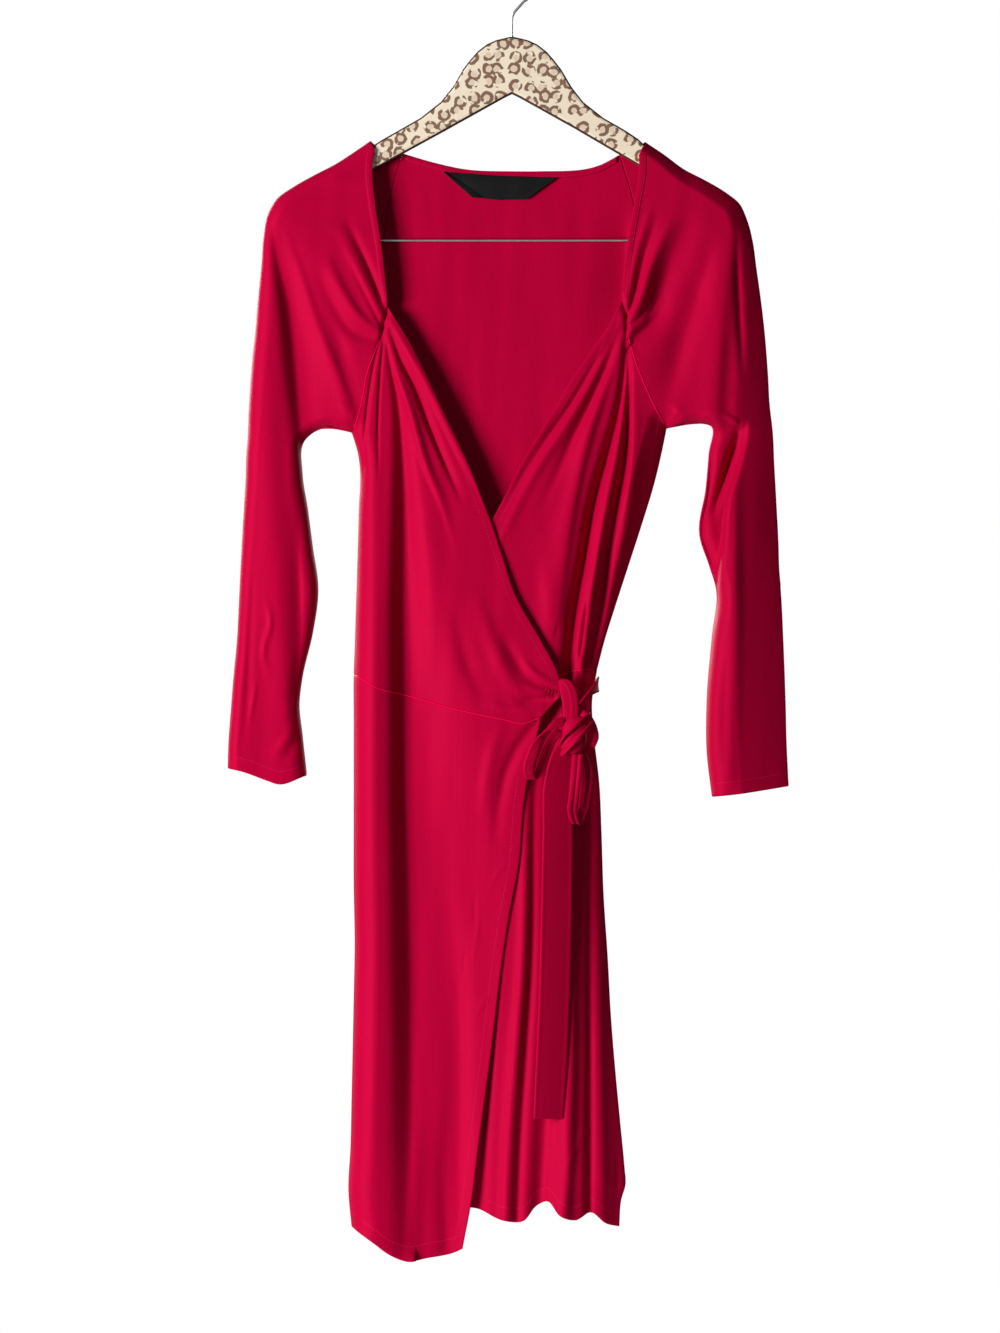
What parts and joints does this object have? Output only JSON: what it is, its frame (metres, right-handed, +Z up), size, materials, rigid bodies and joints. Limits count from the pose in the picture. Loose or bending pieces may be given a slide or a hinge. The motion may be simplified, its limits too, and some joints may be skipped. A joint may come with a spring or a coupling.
{
  "type": "wrap dress on a hanger",
  "caption": "Long-sleeved jersey wrap dress with gathered shoulders and a side tie, hanging open-necked on a flat wooden hanger with a wire hook and trouser bar.",
  "frame": {"origin": "inner top of the hanger's hook, where it rests on a rail", "axes": "+Z up along the length of the dress, -Y out of its front, +X towards the wearer's left"},
  "size_m": [0.5356, 0.073, 1.2398],
  "materials": {
    "jersey": "soft crimson slinky knit",
    "satin": "black woven satin",
    "wood": "pale wood printed with brown rosettes",
    "steel": "bright drawn wire"
  },
  "bodies": {
    "root": {"bodice_front_right": "jersey", "bodice_front_left": "jersey", "bodice_back": "jersey", "back_neck_band": "jersey", "sleeve_right": "jersey", "sleeve_left": "jersey", "skirt_front_right": "jersey", "skirt_front_left": "jersey", "skirt_back": "jersey", "tie_strap": "jersey", "tie_side_band": "jersey", "tie_knot": "jersey", "bow_loop_upper": "jersey", "bow_loop_lower": "jersey", "tie_tail": "jersey", "neck_label": "satin", "hanger_body": "wood", "hanger_hook": "steel", "trouser_bar": "steel"}
  },
  "joints": []
}
